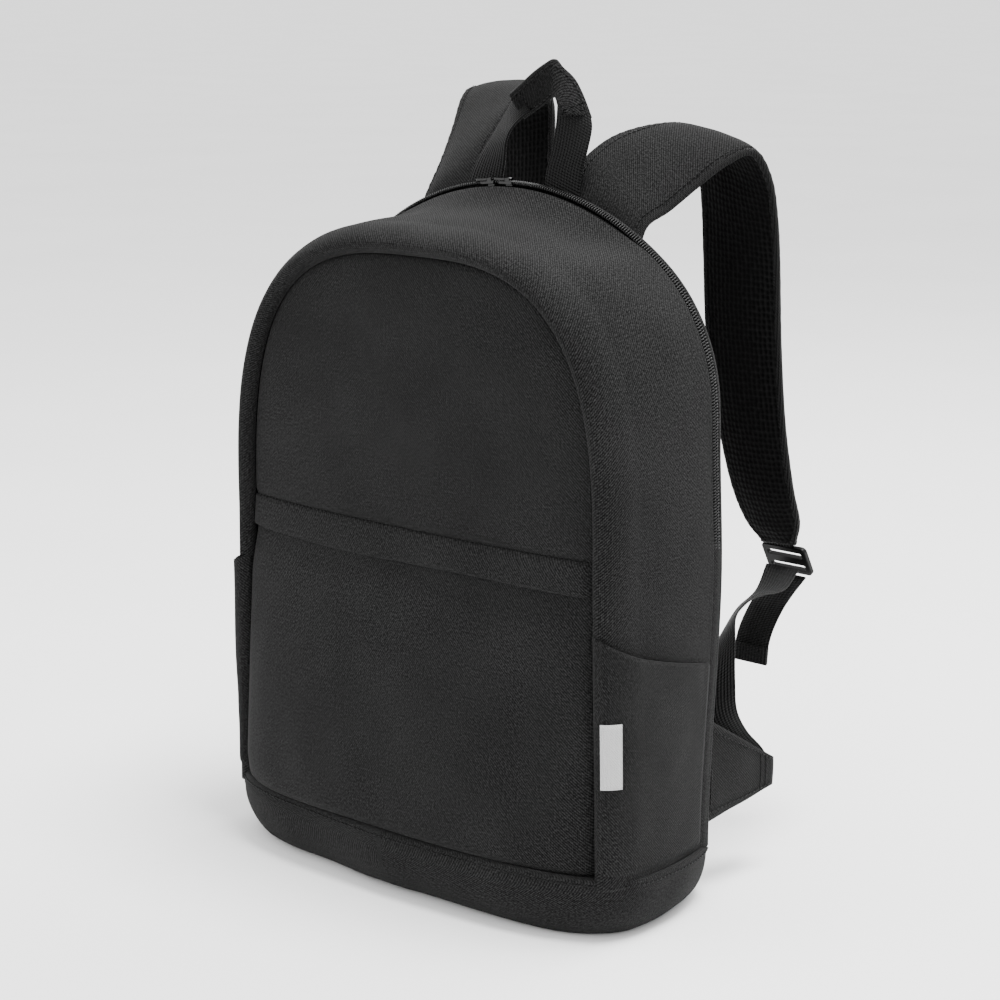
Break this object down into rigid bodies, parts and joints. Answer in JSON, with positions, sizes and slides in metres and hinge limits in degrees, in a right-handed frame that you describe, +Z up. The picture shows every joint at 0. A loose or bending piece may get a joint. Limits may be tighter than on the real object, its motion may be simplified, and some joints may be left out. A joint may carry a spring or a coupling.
{
  "type": "school backpack",
  "caption": "Small black cotton school backpack with an arched main zip, a front pocket under a flap, side pockets, a grab handle and padded straps.",
  "frame": {"origin": "on the floor, under the middle of the base", "axes": "+Z up, -Y towards the front pocket, +Y towards the wearer, X across the bag"},
  "size_m": [0.3168, 0.2722, 0.4928],
  "materials": {
    "canvas": "woven twill, matte",
    "air_mesh": "open air mesh, matte",
    "foam": "closed foam",
    "binding": "ribbed tape",
    "webbing": "ribbed webbing",
    "zip_tape": "fine woven tape",
    "zip_coil": "satin coil",
    "zip_metal": "gloss black enamel",
    "lock_plastic": "moulded, fine grain",
    "label": "woven label, blank"
  },
  "bodies": {
    "bag": {"back_foam": "foam", "back_mesh": "air_mesh", "back_panel": "canvas", "base_band": "canvas", "front_pocket_panel": "canvas", "lower_gusset_left": "canvas", "lower_gusset_right": "canvas", "lower_webbing_left": "webbing", "lower_webbing_right": "webbing", "main_front_wall": "canvas", "main_zip_coil_rear": "zip_coil", "main_zip_end_stops": "zip_coil", "main_zip_tape_rear": "zip_tape", "pocket_zip_coil": "zip_coil", "pocket_zip_stops": "zip_coil", "pocket_zip_tape_lower": "zip_tape", "pocket_zip_tape_upper": "zip_tape", "rear_flange": "canvas", "side_label": "label", "side_pocket_hem_left": "canvas", "side_pocket_hem_right": "canvas", "side_pocket_left": "canvas", "side_pocket_right": "canvas", "wing_left": "canvas", "wing_right": "canvas"},
    "front_shell": {"upper_gusset": "canvas", "front_panel_upper": "canvas", "main_zip_tape_front": "zip_tape", "main_zip_coil_front": "zip_coil"},
    "pocket_flap": {"pocket_flap": "canvas"},
    "main_slider_right": {"main_zip_slider_right": "zip_metal"},
    "main_slider_left": {"main_zip_slider_left": "zip_metal"},
    "main_pull_right": {"main_zip_pull_right": "zip_metal"},
    "main_pull_left": {"main_zip_pull_left": "zip_metal"},
    "pocket_slider": {"pocket_zip_slider": "zip_metal", "pocket_zip_pull": "zip_metal"},
    "handle": {"handle_webbing": "webbing", "handle_grip": "canvas"},
    "strap_right": {"strap_cover_right": "canvas", "strap_foam_right": "foam", "strap_mesh_right": "air_mesh", "strap_binding_right": "binding", "strap_tab_right": "webbing", "ladder_lock_right": "lock_plastic", "webbing_tail_right": "webbing", "webbing_tail_end_right": "webbing"},
    "strap_left": {"strap_cover_left": "canvas", "strap_foam_left": "foam", "strap_mesh_left": "air_mesh", "strap_binding_left": "binding", "strap_tab_left": "webbing", "ladder_lock_left": "lock_plastic", "webbing_tail_left": "webbing", "webbing_tail_end_left": "webbing"}
  },
  "joints": [
    {"name": "main_opening", "type": "hinge", "parent": "bag", "child": "front_shell", "pos_m": [0, 0.042, 0.2], "axis": [1, 0, 0], "range_deg": [0, 15]},
    {"name": "pocket_flap_lift", "type": "hinge", "parent": "bag", "child": "pocket_flap", "pos_m": [0, -0.065, 0.217], "axis": [-1, 0, 0], "range_deg": [0, 75]},
    {"name": "main_zip_run_right", "type": "hinge", "parent": "bag", "child": "main_slider_right", "pos_m": [0, 0.042, 0.239], "axis": [0, 1, 0], "range_deg": [0, 38]},
    {"name": "main_zip_run_left", "type": "hinge", "parent": "bag", "child": "main_slider_left", "pos_m": [0, 0.042, 0.239], "axis": [0, -1, 0], "range_deg": [0, 32]},
    {"name": "main_pull_swing_right", "type": "hinge", "parent": "main_slider_right", "child": "main_pull_right", "pos_m": [-0.00252, 0.042, 0.41938], "axis": [0, 1, 0], "range_deg": [0, 150]},
    {"name": "main_pull_swing_left", "type": "hinge", "parent": "main_slider_left", "child": "main_pull_left", "pos_m": [-0.01698, 0.042, 0.4186], "axis": [0, 1, 0], "range_deg": [0, 95]},
    {"name": "pocket_zip_run", "type": "slide", "parent": "bag", "child": "pocket_slider", "axis": [1, 0, 0], "range_m": [0, 0.225]},
    {"name": "handle_swing", "type": "hinge", "parent": "bag", "child": "handle", "pos_m": [0.0035, 0.05, 0.42], "axis": [1, 0, 0], "range_deg": [-35, 30]},
    {"name": "strap_swing_right", "type": "hinge", "parent": "bag", "child": "strap_right", "pos_m": [0.075, 0.052, 0.405], "axis": [1, 0, 0], "range_deg": [-14, 14], "deforming": ["lower_webbing_right"]},
    {"name": "strap_swing_left", "type": "hinge", "parent": "bag", "child": "strap_left", "pos_m": [-0.075, 0.052, 0.405], "axis": [1, 0, 0], "range_deg": [-14, 14], "deforming": ["lower_webbing_left"]}
  ]
}
